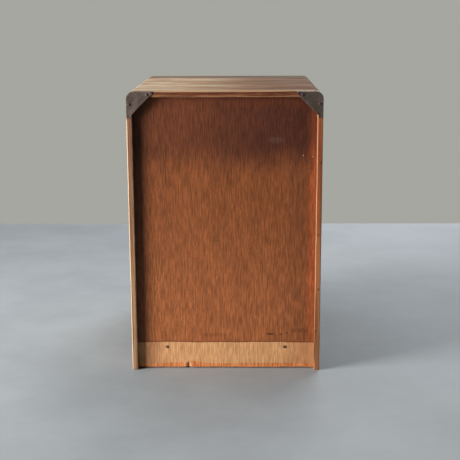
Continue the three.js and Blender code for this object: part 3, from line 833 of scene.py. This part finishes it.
def nail_profile(length, shank, head, height):
    """Point, shank and a low domed head: height x (1 - (r / head)^2) over the head, with a rounded rim."""
    r = np.linspace(head, 0, 9)
    rim = 0.3 * height
    dome = rim + (height - rim) * (1 - (r / head) ** 2)
    point = [(0, -length), (shank, -length + 2.4 * shank)]
    neck = [(shank, -0.2 * shank), (shank, 0), (head * 0.96, 0)]
    return point + neck + list(zip(r, dome))


# ---------------------------------------------------------------------------------------------
# Pieces
# ---------------------------------------------------------------------------------------------


def add_board(node, body, finish, arris, dent, seed, step=5 * MM, segments=4):
    """Shows a frame board by a worn copy of it."""
    add_piece(worn_copy(node, arris, dent, seed, step, segments), body, finish, [node], 0)


def stained_front(f, colour):
    """Stain on the front edges of the boards inside the case."""
    front = f.ramp(f.y, TOP_LOW[1] + 2.5 * MM, TOP_LOW[1] + 1 * MM)
    return f.toned(f.calc("MULTIPLY", front, 0.7), colour, paint(178, 132, 96))


def pale_inside(name, grain):
    """The unstained wood of the boards inside the case."""
    return wood(name, grain, paint(150, 118, 82), paint(196, 164, 122), paint(214, 186, 148), grime=0.3,
                grime_colour=paint(120, 92, 66), roughness=0.7, local=stained_front)


def make_case():
    """The stained case boards, and the pale boards inside."""
    # Each side's last colour is painted light on the outer arris of its rear edge: a painted highlight on the
    # right side, which faces the light, and painted shade on the left side.
    right_edges = (paint(166, 132, 96), paint(140, 98, 70))
    right = weathered_case("side_wood_right", "Z", right_edges, paint(206, 178, 150), paint(200, 170, 136))
    left_edges = (paint(172, 114, 72), paint(164, 94, 52))
    left = weathered_case("side_wood_left", "Z", left_edges, paint(206, 136, 92), paint(116, 62, 34),
                          edge_wear=0.16, knots=EDGE_KNOTS)
    outer_boards = (("left_side", left, 3), ("right_side", right, 5), ("top_board", top_wood(), 8))
    for node, finish, seed in outer_boards:
        add_board(node, "case", finish, 1.3 * MM, 0.45 * MM, seed)
    rail = wood("rail_wood", "X", paint(74, 50, 34), paint(120, 84, 56), paint(170, 134, 98))
    add_board("plinth_rail", "case", rail, 0.9 * MM, 0.3 * MM, 11)
    level = pale_inside("inner_wood", "X")
    upright = pale_inside("divider_wood", "Z")
    for seed, node in enumerate(("bottom_board", "shelf_1", "shelf_2", "shelf_3", "centre_divider"), 30):
        finish = upright if node == "centre_divider" else level
        add_board(node, "case", finish, 0.6 * MM, 0.2 * MM, seed, 8 * MM, 3)


def add_nail(name, node, iron):
    """A nail or tack with a domed head, at its node's place and of its length."""
    low, high = corners(node)
    centre = (low + high) / 2
    centre[1] = high[1] - NAIL_DOME
    profile = nail_profile(centre[1] - low[1], NAIL_SHANK, NAIL_HEAD, NAIL_DOME)
    add_piece(mesh_of(name, [turned_part(centre, profile, 28, 1)]), "case", iron, [node])


def make_back():
    """The plywood back with its two nails, and the plates' four tacks."""
    add_piece(panel_sheet(), "case", panel_plywood(), ["back_panel"])
    iron = old_steel("nail_iron", paint(62, 44, 34), paint(92, 68, 52), 0.4, 0.6, 0.55)
    for label in ("left", "right"):
        add_nail(f"back_nail_{label}", f"panel_nail_{label}", iron)
        for spot in ("top", "side"):
            add_nail(f"plate_tack_{label}_{spot}", f"corner_tack_{label}_{spot}", iron)


def make_corner_plates():
    """The two folded plates on the upper rear corners."""
    steel = old_steel("corner_steel", paint(72, 58, 50), paint(94, 79, 70), 0.3, 0.2, 0.6, 0.15, PLATE_DIRT)
    for label, side, seed in (("left", -1, 41), ("right", 1, 44)):
        name = f"corner_plate_{label}"
        piece = add_piece(corner_plate(name + "_folded", side, seed), "case", steel, [name])
        thicken(piece, PLATE_SHEET)


def rounded_ring(count, half_width, half_height, radius):
    """Points round a rectangle with round corners, from its right middle: points at even angles on a square,
    stretched to the rectangle and drawn in to the radius at its corners."""
    angle = np.linspace(0, TAU, count, endpoint=False)
    power = np.maximum(np.abs(np.cos(angle)), np.abs(np.sin(angle)))
    box = np.stack([np.cos(angle) / power * half_width, np.sin(angle) / power * half_height], -1)
    core = np.array([half_width - radius, half_height - radius])
    held = np.clip(box, -core, core)
    away = box - held
    length = np.linalg.norm(away, axis=1, keepdims=True)
    corner = (np.abs(box) > core).all(1, keepdims=True)
    return np.where(corner, held + away / np.maximum(length, 1e-9) * radius, box)


def label_frame(centre_x, back, middle_z, width):
    """The pressed frame: rings from the window's rim to the outer rim, raised in a bead round the window and
    turned down at the outside. Height over the wood is a raised cosine for the bead and a quarter round
    outside."""
    count = 160
    inner = rounded_ring(count, WINDOW_WIDTH / 2, WINDOW_HEIGHT / 2, 1.2 * MM)
    outer = rounded_ring(count, width / 2, PULL_HEIGHT / 2 + 0.6 * MM, 2.6 * MM)
    v = np.concatenate([np.linspace(0, 0.25, 8), np.linspace(0.3, 0.94, 7), np.linspace(0.96, 1, 5)])[:, None]
    flat = inner + (outer - inner) * v[..., None]
    bead = 0.32 * MM * 0.5 * (1 + np.cos(np.clip((v - 0.09) / 0.09, -1, 1) * math.pi))
    rim = 0.55 * MM * (1 - np.sqrt(np.clip(1 - (np.clip(v - 0.96, 0, 0.04) / 0.04) ** 2, 0, 1)))
    height = 0.85 * MM + bead - rim
    y = back - height + 0 * flat[..., 0]
    grid = np.stack([centre_x + flat[..., 0], y, middle_z + flat[..., 1]], -1)
    return grid, quads(len(v), count, closed=True)


def finger_lip(centre_x, front, top_z):
    """The lip: a quarter round carried across, forward by reach x sin and down by reach x (1 - cos) of its
    turn, a tenth shorter at its ends and a little narrower at its free edge."""
    turn = np.linspace(0, math.pi / 2, 17)[:, None]
    across = np.linspace(-1, 1, 41)[None]
    reach = LIP_REACH - 0.1 * MM
    ends = 1 - 0.10 * eased((np.abs(across) - 0.86) / 0.14)
    half = LIP_WIDTH / 2 * (1 - 0.06 * eased((turn / (math.pi / 2) - 0.7) / 0.3))
    y = front - reach * np.sin(turn) * ends
    z = top_z - reach * (1 - np.cos(turn))
    grid = np.stack([centre_x + across * half, y, z + 0 * across], -1)
    return grid, quads(*grid.shape[:2])


def screw_heads(places, steps=48):
    """Slotted round heads: height over radius is a dome, less a slot across it whose sides ease over 0.15 mm.
    Each head also has its shank, hidden in the wood."""
    head, height = 2.9 * MM, 1.3 * MM
    radius = np.concatenate([np.linspace(0, 0.93, 12), [0.98, 1, 1]]) * head
    angle = np.linspace(0, TAU, steps, endpoint=False)
    parts = []
    for x, y, z, turn in places:
        r, a = np.meshgrid(radius, angle, indexing="ij")
        dome = height * np.sqrt(np.clip(1 - (r / head) ** 2 * 0.85, 0, 1))
        off_slot = np.abs(r * np.sin(a - turn))
        slot = 0.7 * MM * (1 - eased((off_slot - 0.3 * MM) / (0.15 * MM)))
        rise = np.clip(dome - slot, 0.1 * MM, None)
        rise[-1] = 0
        grid = np.stack([x + r * np.cos(a), y - rise, z + r * np.sin(a)], -1)
        parts.append((grid, quads(len(radius), steps, closed=True)))
        shank = [(head, 0), (1.4 * MM, 0), (1.4 * MM, 7 * MM), (0, 9 * MM)]
        parts.append(turned_part(np.array([x, y, z]), shank, steps, 1))
    return parts


def blank_card(name, x, y, z):
    """A card 0.2 mm thick, a little larger than the window."""
    half_width, half_height, thick = WINDOW_WIDTH / 2 + 1.5 * MM, WINDOW_HEIGHT / 2 + 1.2 * MM, 0.2 * MM
    ring = rounded_ring(64, half_width, half_height, 0.6 * MM)
    scale = np.array([0, 1, 1, 0])[:, None, None]
    depth = np.array([-1, -1, 1, 1])[:, None] * thick / 2
    flat = ring * scale
    grid = np.stack([x + flat[..., 0], y + depth + 0 * flat[..., 0], z + flat[..., 1]], -1)
    return mesh_of(name, [(grid, quads(4, 64, closed=True))])


def drawer_wood(name, grain):
    """The unstained wood of the drawers' sides and backs."""
    return wood(name, grain, paint(168, 136, 98), paint(206, 176, 134), paint(220, 196, 158), grime=0.25,
                grime_colour=paint(134, 104, 76), roughness=0.7)


def make_drawers():
    """Seven drawers, each with its boards, its pull, two screws and a blank card."""
    steel = old_steel("pull_steel", paint(70, 60, 54), paint(112, 100, 90), 0.8, 0.35, 0.42)
    screw = old_steel("screw_steel", paint(66, 56, 48), paint(104, 92, 80), 0.8, 0.3, 0.45)
    card = label_card()
    side_wood = drawer_wood("drawer_side_wood", "Y")
    back_wood = drawer_wood("drawer_back_wood", "X")
    ply = wood("drawer_plywood", "Y", paint(158, 120, 80), paint(196, 158, 112), paint(214, 184, 142),
               grime=0.3, grime_colour=paint(122, 92, 64), roughness=0.7, figure_size=0.05)
    for number in DRAWERS:
        body = f"drawer_{number}"
        front_wood = wood(f"drawer_front_wood_{number}", "X", paint(86, 50, 30), paint(142, 88, 52),
                          paint(184, 138, 94), wear=0.42, offset=0.31 * number, grime=0.3, roughness=0.48,
                          figure_size=0.025)
        boards = (("front", "drawer_front_wood", front_wood, 1.4 * MM, 0.35 * MM),
                  ("left_side", "drawer_wood", side_wood, 0.6 * MM, 0.2 * MM),
                  ("right_side", "drawer_wood", side_wood, 0.6 * MM, 0.2 * MM),
                  ("back", "drawer_wood", back_wood, 0.6 * MM, 0.2 * MM),
                  ("bottom", "drawer_plywood", ply, 0.3 * MM, 0.05 * MM))
        for seed, (piece, slot, finish, arris, dent) in enumerate(boards, 100 * number):
            node = f"{body}_{piece}"
            add_board(node, body, finish, arris, dent, seed, 8 * MM, 3)
        low, high = corners(f"{body}_pull")
        middle_x = (low[0] + high[0]) / 2
        middle_z = high[2] - PULL_HEIGHT / 2
        back = high[1]
        frame_part = label_frame(middle_x, back, middle_z, high[0] - low[0])
        lip_part = finger_lip(middle_x, back - PULL_SHEET, high[2] - PULL_HEIGHT)
        mesh = mesh_of(f"{body}_pull_pressed", [frame_part, lip_part])
        face_out(mesh, np.array([middle_x, back + 0.2, middle_z - 20 * MM]))
        pull = add_piece(mesh, body, steel, [f"{body}_pull"], 60)
        thicken(pull, 0.8 * MM)
        heads = []
        for offset in (-SCREW_OFFSET, SCREW_OFFSET):
            heads.append((middle_x + offset, back - 0.9 * MM, middle_z, number + offset * 40))
        add_piece(mesh_of(f"{body}_screws", screw_heads(heads)), body, screw)
        card_y = (back + corners(f"{body}_front")[0][1]) / 2
        add_piece(blank_card(f"{body}_card", middle_x, card_y, middle_z), body, card)


place_camera()
light_the_room()
lay_floor()
make_case()
make_back()
make_corner_plates()
make_drawers()
